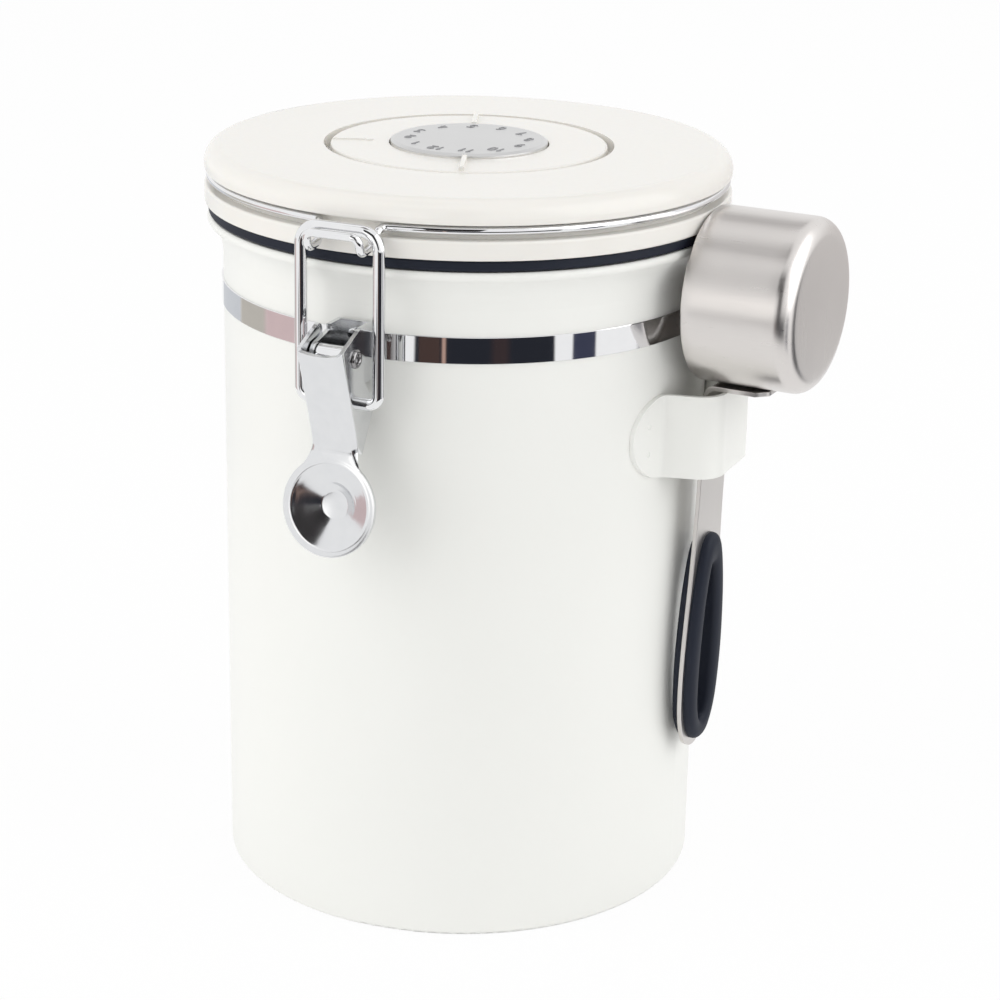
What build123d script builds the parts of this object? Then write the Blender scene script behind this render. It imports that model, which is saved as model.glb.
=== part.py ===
from build123d import *
import os
from math import atan2, cos, degrees, hypot, radians, sin, tan

# Food canister with a wire bail, an over-centre latch, a one-way valve and a hanging scoop.
# The origin is the centre of the base. The latch is at -Y, the scoop at +X and the lid's hinge at +Y.

# Canister body
body_radius = 58.0
body_wall = 1.0
body_height = 162.3
base_edge = 0.9
foot_width = 2.4
rim_reach = 3.6
bead_height = 2.2
bead_reach = 0.7
flare_height = 7.4
pan_lift = 3.0
pan_wall = 1.0
seam_gap = 0.05

# Chrome neck band
band_drop = 21.3
band_height = 6.1
band_sheet = 0.45
band_edge = 0.12

# Lid
lid_reach = 4.2
gasket_height = 2.5
gasket_gap = 0.3
gasket_inset = 0.9
gasket_edge = 0.5
lid_ring_height = 4.4
lid_ring_edge = 0.6
groove_height = 3.4
groove_depth = 2.7
cover_height = 5.4
cover_edge = 4.0
cover_lip_edge = 0.5
cover_sheet = 1.8
plug_gap = 1.0
plug_depth = 6.8
plug_wall = 1.5
deck_sheet = 1.8
deck_lift = 1.2
skirt_wall = 2.0

# Dial and date ring
well_radius = 34.2
well_depth = 3.0
ring_gap = 1.6
ring_lift = 0.3
ring_edge = 0.5
dial_radius = 18.5
dial_gap = 0.4
dial_sheet = 0.8
dial_rise = 1.0
dial_edge = 0.45
rib_width = 1.2
rib_rise = 1.2
rib_edge = 0.4
rib_turn_deg = 21.5
mark_width = 0.7
mark_length = 8.6
mark_dot = 0.9
mark_depth = 0.25
mark_rise = 0.3
numeral_radius = 14.0
numeral_height = 2.7
numeral_stroke = 0.42
numeral_relief = 0.12
numeral_turn_deg = -8.5
hour_count = 12

# Valve
valve_port_radius = 1.4
valve_port_count = 6
valve_disc_radius = 9.4
valve_disc_sheet = 1.0
valve_stem_radius = 1.7
valve_stem_fit = 0.08
valve_stem_length = 4.6
valve_barb = 0.6
valve_lift = 1.2
valve_side_gap = 0.5
cap_wall = 1.2
cap_vent_count = 8
cap_vent_width = 3.0
cap_vent_height = 1.6
filter_radius = 12.0
filter_sheet = 0.9
filter_slot_count = 9
filter_slot_width = 1.1

# Lid screws
screw_count = 4
screw_radius = 1.2
screw_head_radius = 2.5
screw_head_height = 1.2
screw_recess = 1.3
screw_recess_depth = 0.6
boss_radius = 3.2
screw_turn_deg = 45.0

# Bail wire
wire_radius = 0.95
wire_inset = 1.3
wire_gap = 0.3
hook_half_width = 7.6
hook_bend_deg = 13.0
hook_drop = 4.6
hook_out = 2.0
hook_step = 1.6
hook_reach = 4.5
hook_nose = 1.3
hook_taper = 1.3
hook_bend = 1.3
hook_tip_bend = 1.7
hinge_reach = 9.0
hinge_rise = 0.7
hinge_leg_half = 8.6
hinge_pin_half = 1.2
hinge_bend = 1.9

# Hinge bracket
barrel_half = 6.5
barrel_wall = 1.0
pin_fit = 0.06
bracket_drop = 4.0
bracket_height = 12.6
bracket_sheet = 1.0

# Latch bracket, lever and loop
pivot_reach = 11.7
pivot_rise = 3.0
ear_half = 4.3
ear_sheet = 1.0
ear_nose = 3.1
ear_low = 7.5
ear_high = 5.5
lever_sheet = 1.0
lever_side_gap = 0.3
lever_length = 21.0
lever_corner = 1.4
lever_sag = 0.9
pivot_radius = 1.6
pivot_bore = 1.0
pivot_fit = 0.05
pivot_head = 2.1
pivot_head_height = 0.9
sleeve_radius = 2.5
sleeve_gap = 0.2
loop_wire = 1.4
loop_fit = 0.06
loop_half_width = 9.5
loop_pivot_drop = 11.0
loop_pivot_inset = 3.2
loop_bar_reach = 4.2
loop_end_inset = 0.7
loop_top_bend = 4.2
loop_low_bend = 2.4
disc_radius = 11.3
disc_sheet = 0.9
disc_depth = 2.9
disc_lip = 0.9
disc_drop = 34.1
disc_reach = 2.3
disc_lean_deg = 10.2
dimple_radius = 3.6
dimple_depth = 0.9

# Rivets of both brackets
rivet_radius = 1.5
rivet_height = 0.7
rivet_inset = 3.2

# Scoop holder
holder_height = 19.75
holder_sheet = 1.0
holder_reach = 11.3
holder_half_width = 12.0
holder_corner = 6.0
holder_root = 2.3
holder_ear_deg = 25.2
holder_root_deg = 17.0
weld_deg = 20.0
weld_spacing = 6.6
weld_radius = 1.0
weld_depth = 0.3

# Scoop
cup_radius = 20.3
cup_wall = 0.8
cup_depth = 26.2
cup_edge = 4.0
cup_gap = 0.55
cup_drop = 12.5
scoop_turn_deg = -3.5
tab_gap = 0.05
tab_length = 14.6
tab_chamfer = 2.6
handle_sheet = 1.1
handle_half = 7.1
handle_reach = 6.6
handle_bend = 2.0
handle_length = 93.0
handle_lean_deg = 1.8
grip_half = 9.5
grip_length = 53.0
grip_rise = 2.4
grip_edge = 1.6
grip_ring_inset = 0.9
grip_hole_half = 3.8
grip_band_low = 5.2
grip_band_high = 7.8
grip_liner = 0.8
grip_shift = 0.7

overrun = 5.0

# Outline tables, as shares of the sizes that they follow
cheek_shares = [(0.345, 0.11), (-0.19, 0.329), (-0.186, -0.305), (-0.386, -0.495),
                (-0.405, -0.657), (-0.15, -1.08), (-0.0143, -1.0)]
disc_profile_shares = [(0.42, 1.0), (0.62, 0.86), (0.82, 0.45)]
plate_shares = [(0.3, 0.008), (0.62, 0.034), (0.9, 0.102), (1.0, 0.197), (0.99, 0.286), (0.93, 0.381)]
plate_blend_shares = [(0.33, 0.5), (0.0, 0.68)]
ring_shares = [(0.45, 0.03), (0.84, 0.15), (1.0, 0.36), (0.97, 0.56), (0.79, 0.78), (0.45, 0.96)]
hole_shares = [(0.5, 0.03), (0.88, 0.14), (1.0, 0.32), (0.97, 0.52), (0.79, 0.76), (0.4, 0.96)]
digit_shares = {
    "0": [[(0.2, 0), (0.8, 0), (1, 0.25), (1, 0.75), (0.8, 1), (0.2, 1), (0, 0.75), (0, 0.25), (0.2, 0)]],
    "1": [[(0.2, 0.78), (0.55, 1), (0.55, 0)]],
    "2": [[(0, 0.76), (0.2, 1), (0.8, 1), (1, 0.76), (1, 0.58), (0, 0), (1, 0)]],
    "3": [[(0, 1), (1, 1), (0.5, 0.58), (0.85, 0.52), (1, 0.3), (0.85, 0.06), (0.5, 0), (0, 0.14)]],
    "4": [[(0.75, 0), (0.75, 1), (0, 0.3), (1, 0.3)]],
    "5": [[(0.95, 1), (0.1, 1), (0.05, 0.56), (0.75, 0.6), (1, 0.38), (0.85, 0.06), (0.45, 0), (0, 0.1)]],
    "6": [[(0.8, 1), (0.3, 0.8), (0, 0.35), (0.2, 0), (0.8, 0), (1, 0.28), (0.8, 0.56), (0.1, 0.5)]],
    "7": [[(0, 1), (1, 1), (0.35, 0)]],
    "8": [[(0.25, 0.53), (0, 0.27), (0.22, 0), (0.78, 0), (1, 0.27), (0.75, 0.53), (0.25, 0.53)],
          [(0.25, 0.53), (0.08, 0.78), (0.28, 1), (0.72, 1), (0.92, 0.78), (0.75, 0.53)]],
    "9": [[(0.2, 0), (0.7, 0.2), (1, 0.65), (0.8, 1), (0.2, 1), (0, 0.72), (0.2, 0.44), (0.9, 0.5)]],
}
digit_width_share = 0.52
digit_pitch_share = 0.78

# Heights and radii that several pieces share
flare_top = body_height - bead_height
flare_bottom = flare_top - flare_height
inner_radius = body_radius - body_wall
bead_radius = body_radius + rim_reach
band_low = body_height - band_drop
band_radius = body_radius + band_sheet
lid_radius = body_radius + lid_reach
plug_radius = inner_radius - plug_gap
gasket_reach = lid_radius - gasket_inset
gasket_low = body_height + gasket_gap
seat = gasket_low + gasket_height
groove_low = seat + lid_ring_height
cover_low = groove_low + groove_height
lid_top = cover_low + cover_height
groove_radius = lid_radius - groove_depth
wire_ring = lid_radius - wire_inset
wire_height = cover_low - wire_gap - wire_radius
deck_low = seat + deck_lift
deck_high = deck_low + deck_sheet
well_floor = lid_top - well_depth
cover_under = well_floor - cover_sheet
screw_circle = (well_radius + cover_sheet + groove_radius - skirt_wall) / 2
valve_port_circle = (valve_disc_radius + valve_stem_radius + valve_barb) / 2
ring_radius = well_radius - ring_gap
pivot_y = body_radius + pivot_reach
pivot_z = band_low + pivot_rise
hinge_y = body_radius + hinge_reach
hinge_height = body_height + hinge_rise
bracket_low = band_low - bracket_drop
bracket_high = bracket_low + bracket_height
cheek_inner = ear_half + lever_side_gap
cheek_outer = cheek_inner + lever_sheet
loop_end_half = cheek_inner - loop_end_inset
cup_height = body_height - cup_drop
tab_low = cup_height - cup_radius - handle_sheet
holder_high = tab_low - tab_gap
holder_low = holder_high - holder_height
handle_x = body_radius + handle_reach
cup_x = lid_radius + cup_gap
holder_x = body_radius + holder_reach

os.makedirs("parts", exist_ok=True)


def save(name, part):
    part.label = name
    export_step(part, "parts/" + name + ".step")


# Drawn body with a flared neck, a rolled bead and a curled foot
with BuildPart() as canister_body:
    with BuildSketch(Plane.XZ):
        with BuildLine():
            Line((body_radius - foot_width, 0), (body_radius - base_edge, 0))
            RadiusArc((body_radius - base_edge, 0), (body_radius, base_edge), -base_edge)
            Line((body_radius, base_edge), (body_radius, flare_bottom))
            Spline((body_radius, flare_bottom), (bead_radius - bead_reach, flare_top),
                   tangents=((0, 1), (1, 1)))
            ThreePointArc((bead_radius - bead_reach, flare_top),
                          (bead_radius, flare_top + bead_height / 2),
                          (bead_radius - bead_reach, body_height))
            Line((bead_radius - bead_reach, body_height), (bead_radius - bead_reach - body_wall, body_height))
            Spline((bead_radius - bead_reach - body_wall, body_height), (inner_radius, flare_bottom),
                   tangents=((0, -1), (0, -1)))
            Line((inner_radius, flare_bottom), (inner_radius, body_wall))
            Line((inner_radius, body_wall), (body_radius - foot_width, body_wall))
            Line((body_radius - foot_width, body_wall), (body_radius - foot_width, 0))
        make_face()
    revolve(axis=Axis.Z)
save("canister_body", canister_body.part)

# Base pan seamed into the foot of the body
with BuildPart() as base_pan:
    with Locations((0, 0, body_wall + seam_gap)):
        Cylinder(inner_radius - seam_gap, pan_lift, align=(Align.CENTER, Align.CENTER, Align.MIN))
        Cylinder(inner_radius - seam_gap - pan_wall, pan_lift - pan_wall,
                 align=(Align.CENTER, Align.CENTER, Align.MIN), mode=Mode.SUBTRACT)
    fillet(base_pan.faces().sort_by(Axis.Z)[-1].edges(), pan_wall / 2)
save("base_pan", base_pan.part)

# Polished band round the neck
with BuildPart() as neck_band:
    with BuildSketch(Plane.XY.offset(band_low)):
        Circle(band_radius)
        Circle(body_radius, mode=Mode.SUBTRACT)
    extrude(amount=band_height)
    chamfer(neck_band.edges().filter_by(GeomType.CIRCLE).filter_by(
        lambda e: e.radius > body_radius + band_sheet / 2), band_edge)
save("neck_band", neck_band.part)

# Latch bracket, a U of sheet whose base follows the band
with BuildPart() as latch_bracket:
    with BuildSketch(Plane.YZ):
        with Locations((-body_radius, pivot_z - ear_low)):
            Rectangle(band_sheet + ear_sheet + overrun, ear_low + ear_high, align=(Align.MAX, Align.MIN))
        with BuildLine():
            Polyline((-body_radius, pivot_z + ear_high), (-band_radius - ear_sheet, pivot_z + ear_high),
                     (-pivot_y, pivot_z + ear_nose), (-pivot_y, pivot_z - ear_nose),
                     (-band_radius - ear_sheet, pivot_z - ear_low), (-body_radius, pivot_z - ear_low),
                     close=True)
        make_face()
        with Locations((-pivot_y, pivot_z)):
            Circle(ear_nose)
            Circle(pivot_radius + pivot_fit, mode=Mode.SUBTRACT)
    extrude(amount=ear_half, both=True)
    with BuildSketch(Plane.YZ):
        with Locations((-band_radius - ear_sheet, pivot_z - ear_low - overrun)):
            Rectangle(pivot_reach + overrun, ear_low + ear_high + overrun * 2, align=(Align.MAX, Align.MIN))
    extrude(amount=ear_half - ear_sheet, both=True, mode=Mode.SUBTRACT)
    Cylinder(band_radius, body_height, align=(Align.CENTER, Align.CENTER, Align.MIN), mode=Mode.SUBTRACT)
save("latch_bracket", latch_bracket.part)

# Hinge bracket with a rolled barrel that holds the two ends of the bail wire
with BuildPart() as hinge_bracket:
    barrel_radius = wire_radius + pin_fit + barrel_wall
    with BuildSketch(Plane.YZ):
        with Locations((body_radius, bracket_low)):
            Rectangle(band_sheet + bracket_sheet, bracket_high - bracket_low, align=(Align.MIN, Align.MIN))
        with BuildLine():
            Polyline((body_radius, bracket_high), (band_radius + bracket_sheet, bracket_high - bracket_sheet),
                     (hinge_y + bracket_sheet, hinge_height - barrel_radius / 2),
                     (hinge_y - bracket_sheet, hinge_height - barrel_radius / 2), close=True)
        make_face()
        with Locations((hinge_y, hinge_height)):
            Circle(barrel_radius)
            Circle(wire_radius + pin_fit, mode=Mode.SUBTRACT)
    extrude(amount=barrel_half, both=True)
    Cylinder(band_radius, body_height, align=(Align.CENTER, Align.CENTER, Align.MIN), mode=Mode.SUBTRACT)
save("hinge_bracket", hinge_bracket.part)

# Domed rivets, two in each bracket
with BuildPart() as bracket_rivets:
    latch_rivet_z = (pivot_z - ear_low + rivet_inset, pivot_z + ear_high - rivet_inset)
    hinge_rivet_z = (bracket_low + rivet_inset, bracket_high - rivet_inset)
    for side, face, heights in ((-1, band_radius + ear_sheet, latch_rivet_z),
                                (1, band_radius + bracket_sheet, hinge_rivet_z)):
        for height in heights:
            with BuildSketch(Plane(origin=(0, side * face, height), z_dir=(0, side, 0))):
                Circle(rivet_radius)
            extrude(amount=rivet_height)
    fillet(bracket_rivets.faces().filter_by(Axis.Y).filter_by(
        lambda f: abs(f.center().Y) > band_radius + ear_sheet + rivet_height / 2).edges(), rivet_height * 0.6)
save("bracket_rivets", bracket_rivets.part)

# Scoop holder, one bent strip welded to the body at its two rounded ears
with BuildPart() as scoop_holder:
    mid_radius = body_radius + holder_sheet / 2
    face_x = holder_x - holder_sheet / 2
    root = radians(holder_root_deg)
    root_point = (mid_radius * cos(root), mid_radius * sin(root))
    turn_point = (root_point[0] + holder_root * sin(root), root_point[1] - holder_root * cos(root))
    with BuildSketch(Plane.XY.offset(holder_low)):
        with BuildLine() as strip_line:
            for side in (-1, 1):
                CenterArc((0, 0), mid_radius, side * holder_ear_deg,
                          side * (holder_root_deg - holder_ear_deg))
            FilletPolyline((root_point[0], -root_point[1]), (turn_point[0], -turn_point[1]),
                           (face_x, -holder_half_width), (face_x, holder_half_width),
                           turn_point, root_point,
                           radius=(holder_root, holder_corner, holder_corner, holder_root))
        trace(strip_line.line, line_width=holder_sheet)
    extrude(amount=holder_height)
    with BuildSketch(Plane.YZ):
        with Locations((0, holder_low + holder_height / 2)):
            SlotOverall(mid_radius * sin(radians(holder_ear_deg)) * 2, holder_height)
    extrude(amount=holder_x + overrun, mode=Mode.INTERSECT)
    weld_reach = body_radius + holder_sheet - weld_depth + weld_radius
    for side in (-1, 1):
        angle = radians(side * weld_deg)
        for step in (-1, 1):
            with Locations((weld_reach * cos(angle), weld_reach * sin(angle),
                            holder_low + holder_height / 2 + step * weld_spacing / 2)):
                Sphere(weld_radius, mode=Mode.SUBTRACT)
save("scoop_holder", scoop_holder.part)

# Lid cover with a well for the date ring and a boss for the dial
with BuildPart() as lid_cover:
    boss_top = lid_top + dial_rise - dial_sheet
    with BuildSketch(Plane.XZ):
        with BuildLine():
            Polyline((0, cover_under), (0, boss_top), (dial_radius, boss_top), (dial_radius, well_floor),
                     (well_radius, well_floor), (well_radius, lid_top), (lid_radius - cover_edge, lid_top))
            RadiusArc((lid_radius - cover_edge, lid_top), (lid_radius, lid_top - cover_edge), cover_edge)
            Line((lid_radius, lid_top - cover_edge), (lid_radius, cover_low + cover_lip_edge))
            RadiusArc((lid_radius, cover_low + cover_lip_edge), (lid_radius - cover_lip_edge, cover_low),
                      cover_lip_edge)
            Polyline((lid_radius - cover_lip_edge, cover_low), (groove_radius - skirt_wall, cover_low),
                     (groove_radius - skirt_wall, lid_top - cover_sheet),
                     (well_radius + cover_sheet, lid_top - cover_sheet),
                     (well_radius + cover_sheet, cover_under), (0, cover_under))
        make_face()
    revolve(axis=Axis.Z)
    with BuildSketch(Plane.XY.offset(deck_high)):
        with PolarLocations(screw_circle, screw_count, screw_turn_deg):
            Circle(boss_radius)
            Circle(screw_radius, mode=Mode.SUBTRACT)
    extrude(amount=lid_top - cover_sheet - deck_high)
save("lid_cover", lid_cover.part)

# Lid base with the wire groove, the gasket seat, the plug and the valve seat
with BuildPart() as lid_base:
    with BuildSketch(Plane.XZ):
        with BuildLine():
            Polyline((0, deck_low), (plug_radius - plug_wall, deck_low),
                     (plug_radius - plug_wall, gasket_low - plug_depth),
                     (plug_radius, gasket_low - plug_depth), (plug_radius, seat),
                     (lid_radius - lid_ring_edge, seat))
            RadiusArc((lid_radius - lid_ring_edge, seat), (lid_radius, seat + lid_ring_edge), -lid_ring_edge)
            Line((lid_radius, seat + lid_ring_edge), (lid_radius, groove_low - lid_ring_edge))
            RadiusArc((lid_radius, groove_low - lid_ring_edge), (lid_radius - lid_ring_edge, groove_low),
                      -lid_ring_edge)
            Polyline((lid_radius - lid_ring_edge, groove_low), (groove_radius, groove_low),
                     (groove_radius, cover_low), (groove_radius - skirt_wall, cover_low),
                     (groove_radius - skirt_wall, deck_high), (0, deck_high), (0, deck_low))
        make_face()
    revolve(axis=Axis.Z)
    with Locations((0, 0, deck_high)):
        Hole(valve_stem_radius + valve_stem_fit, deck_sheet + overrun)
        with PolarLocations(valve_port_circle, valve_port_count):
            Hole(valve_port_radius, deck_sheet + overrun)
    with BuildSketch(Plane.XY.offset(deck_low)):
        with PolarLocations(screw_circle, screw_count, screw_turn_deg):
            Circle(screw_radius)
    extrude(amount=deck_sheet, mode=Mode.SUBTRACT)
    with BuildSketch(Plane.XY.offset(deck_low)):
        with PolarLocations(screw_circle, screw_count, screw_turn_deg):
            Circle(screw_head_radius)
    extrude(amount=screw_head_height, mode=Mode.SUBTRACT)
save("lid_base", lid_base.part)

# Black gasket under the lid
with BuildPart() as lid_gasket:
    with BuildSketch(Plane.XY.offset(gasket_low)):
        Circle(gasket_reach)
        Circle(plug_radius, mode=Mode.SUBTRACT)
    extrude(amount=gasket_height)
    fillet(lid_gasket.edges().filter_by(GeomType.CIRCLE).filter_by(
        lambda e: e.radius > (gasket_reach + plug_radius) / 2), gasket_edge)
save("lid_gasket", lid_gasket.part)

# Screws from the base into the cover, with a cross recess
with BuildPart() as lid_screws:
    with BuildSketch(Plane.XY.offset(deck_low)):
        with PolarLocations(screw_circle, screw_count, screw_turn_deg):
            Circle(screw_head_radius)
    extrude(amount=screw_head_height)
    with BuildSketch(Plane.XY.offset(deck_low)):
        with PolarLocations(screw_circle, screw_count, screw_turn_deg):
            Circle(screw_radius)
    extrude(amount=lid_top - cover_sheet - deck_low)
    with BuildSketch(Plane.XY.offset(deck_low)):
        with PolarLocations(screw_circle, screw_count, screw_turn_deg):
            Rectangle(screw_recess * 2, screw_recess / 2)
            Rectangle(screw_recess / 2, screw_recess * 2)
    extrude(amount=screw_recess_depth, mode=Mode.SUBTRACT)
save("lid_screws", lid_screws.part)

# Bail wire: a hook at the front, the ring in the lid's groove and two hinge ends at the back
with BuildPart() as bail_wire:
    bend = radians(hook_bend_deg)
    ring_x, ring_y = wire_ring * sin(bend), wire_ring * cos(bend)
    corner_y = ring_y + (ring_x - hook_half_width) * tan(bend)
    out_y = corner_y + hook_out
    knee_y, knee_z = out_y + hook_step, wire_height - hook_drop
    tip_y, tip_half = knee_y + hook_reach, hook_half_width - hook_taper
    slope = hook_drop / 7
    side_points = [(ring_x, -ring_y, wire_height), (hook_half_width, -corner_y, wire_height),
                   (hook_half_width - hook_taper / 4, -out_y, wire_height - slope),
                   (tip_half, -knee_y, knee_z + slope), (tip_half, -tip_y, knee_z),
                   (tip_half, -tip_y - hook_nose, wire_height - slope)]
    other_points = [(-x, y, z) for x, y, z in reversed(side_points)]
    side_bends = [hook_bend] * 3 + [hook_tip_bend] * 2
    with BuildLine() as hook_line:
        FilletPolyline(*side_points, *other_points, radius=side_bends + side_bends[::-1])
    with BuildSketch(Plane(origin=hook_line.line @ 0, z_dir=hook_line.line % 0)):
        Circle(wire_radius)
    sweep(path=hook_line.line)
    rear_y = ring_y + (ring_x - hinge_leg_half) * tan(bend)
    for side in (-1, 1):
        leg_x = side * hinge_leg_half
        with BuildSketch(Plane(origin=(side * ring_x, -ring_y, wire_height),
                               z_dir=(cos(bend), side * sin(bend), 0))):
            Circle(wire_radius)
        revolve(axis=Axis.Z, revolution_arc=side * (180 - hook_bend_deg * 2))
        with BuildLine() as leg_line:
            FilletPolyline((side * ring_x, ring_y, wire_height), (leg_x, rear_y, wire_height),
                           (leg_x, hinge_y, wire_height), (leg_x, hinge_y, hinge_height),
                           (side * hinge_pin_half, hinge_y, hinge_height), radius=hinge_bend)
        with BuildSketch(Plane(origin=leg_line.line @ 0, z_dir=leg_line.line % 0)):
            Circle(wire_radius)
        sweep(path=leg_line.line)
save("bail_wire", bail_wire.part)

# Date ring with two grip ribs
with BuildPart() as date_ring:
    with BuildSketch(Plane.XY.offset(well_floor + ring_lift)):
        Circle(ring_radius)
        Circle(dial_radius + dial_gap, mode=Mode.SUBTRACT)
    extrude(amount=well_depth - ring_lift)
    fillet(date_ring.edges().filter_by(GeomType.CIRCLE).filter_by(
        lambda e: e.radius > ring_radius - ring_edge).sort_by(Axis.Z)[-1], ring_edge)
    rib_middle = (ring_radius - ring_edge + dial_radius + dial_gap) / 2
    rib_length = ring_radius - ring_edge - dial_radius - dial_gap
    with BuildSketch(Plane.XY.offset(lid_top)):
        with PolarLocations(rib_middle, 2, rib_turn_deg - 90):
            Rectangle(rib_length - rib_width / 2, rib_width)
    extrude(amount=rib_rise)
    fillet(date_ring.faces().sort_by(Axis.Z)[-2:].edges(), rib_edge)
    with BuildSketch(Plane.XY.offset(lid_top - mark_depth)):
        with PolarLocations(ring_radius - ring_edge - mark_length / 2, 1, rib_turn_deg - 180):
            Rectangle(mark_length, mark_width)
        with PolarLocations(ring_radius - ring_edge - mark_length, 1, rib_turn_deg - 180):
            Circle(mark_dot)
    extrude(amount=mark_depth, mode=Mode.SUBTRACT)
save("date_ring", date_ring.part)

# Index line, inlaid in the ring and standing a little above it
with BuildPart() as date_index:
    with BuildSketch(Plane.XY.offset(lid_top - mark_depth)):
        with PolarLocations(ring_radius - ring_edge - mark_length / 2, 1, rib_turn_deg - 180):
            Rectangle(mark_length, mark_width)
        with PolarLocations(ring_radius - ring_edge - mark_length, 1, rib_turn_deg - 180):
            Circle(mark_dot)
    extrude(amount=mark_depth + mark_rise)
save("date_index", date_index.part)

# Metal dial plate
with BuildPart() as dial_plate:
    with BuildSketch(Plane.XY.offset(boss_top)):
        Circle(dial_radius)
    extrude(amount=dial_sheet)
    chamfer(dial_plate.faces().sort_by(Axis.Z)[-1].edges(), dial_edge, dial_edge * 2)
save("dial_plate", dial_plate.part)

# Raised numerals round the dial, read from the hinge side
with BuildPart() as dial_numerals:
    digit_width = numeral_height * digit_width_share
    digit_pitch = numeral_height * digit_pitch_share
    for hour in range(1, hour_count + 1):
        turn = numeral_turn_deg - 90 - hour * 360 / hour_count
        text = str(hour)
        plane = Plane(origin=(numeral_radius * cos(radians(turn)), numeral_radius * sin(radians(turn)),
                              lid_top + dial_rise),
                      x_dir=(-cos(radians(numeral_turn_deg)), -sin(radians(numeral_turn_deg)), 0))
        for place, digit in enumerate(text):
            left = (place - len(text) / 2) * digit_pitch + (digit_pitch - digit_width) / 2
            with BuildSketch(plane):
                for stroke in digit_shares[digit]:
                    points = [(left + x * digit_width, (y - 1 / 2) * numeral_height) for x, y in stroke]
                    for (x1, y1), (x2, y2) in zip(points, points[1:]):
                        with Locations(((x1 + x2) / 2, (y1 + y2) / 2)):
                            SlotCenterToCenter(hypot(x2 - x1, y2 - y1), numeral_stroke,
                                               rotation=degrees(atan2(y2 - y1, x2 - x1)))
            extrude(amount=numeral_relief)
save("dial_numerals", dial_numerals.part)

# Valve cap over the disc, with vents round its wall
with BuildPart() as valve_cap:
    cap_inner = valve_disc_radius + valve_side_gap
    cap_room = valve_disc_sheet + valve_lift + valve_side_gap
    with BuildSketch(Plane.XY.offset(deck_high)):
        Circle(cap_inner + cap_wall)
    extrude(amount=cap_room + cap_wall)
    with BuildSketch(Plane.XY.offset(deck_high)):
        Circle(cap_inner)
    extrude(amount=cap_room, mode=Mode.SUBTRACT)
    with BuildSketch(Plane.XY.offset(deck_high)):
        with PolarLocations(cap_inner + cap_wall / 2, cap_vent_count):
            Rectangle(cap_wall * 3, cap_vent_width)
    extrude(amount=cap_vent_height, mode=Mode.SUBTRACT)
    fillet(valve_cap.faces().sort_by(Axis.Z)[-1].edges(), cap_wall / 2)
save("valve_cap", valve_cap.part)

# Silicone valve disc with a barbed stem
with BuildPart() as valve_disc:
    with BuildSketch(Plane.XY.offset(deck_high)):
        Circle(valve_disc_radius)
    extrude(amount=valve_disc_sheet)
    with BuildSketch(Plane.XY.offset(deck_high - valve_stem_length)):
        Circle(valve_stem_radius)
    extrude(amount=valve_stem_length)
    with BuildSketch(Plane.XY.offset(deck_high - valve_stem_length)):
        Circle(valve_stem_radius)
    with BuildSketch(Plane.XY.offset(deck_high - valve_stem_length + valve_barb)):
        Circle(valve_stem_radius + valve_barb)
    loft()
save("valve_disc", valve_disc.part)

# Slotted filter plate under the valve
with BuildPart() as valve_filter:
    filter_low = deck_high - valve_stem_length - valve_side_gap - filter_sheet
    with BuildSketch(Plane.XY.offset(filter_low)):
        Circle(filter_radius)
    extrude(amount=deck_low - filter_low)
    with BuildSketch(Plane.XY.offset(filter_low + filter_sheet)):
        Circle(filter_radius - cap_wall)
    extrude(amount=deck_low - filter_low - filter_sheet, mode=Mode.SUBTRACT)
    with BuildSketch(Plane.XY.offset(filter_low)):
        with PolarLocations(filter_radius / 2, filter_slot_count):
            SlotOverall(filter_radius * 0.6, filter_slot_width)
    extrude(amount=filter_sheet, mode=Mode.SUBTRACT)
save("valve_filter", valve_filter.part)

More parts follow.
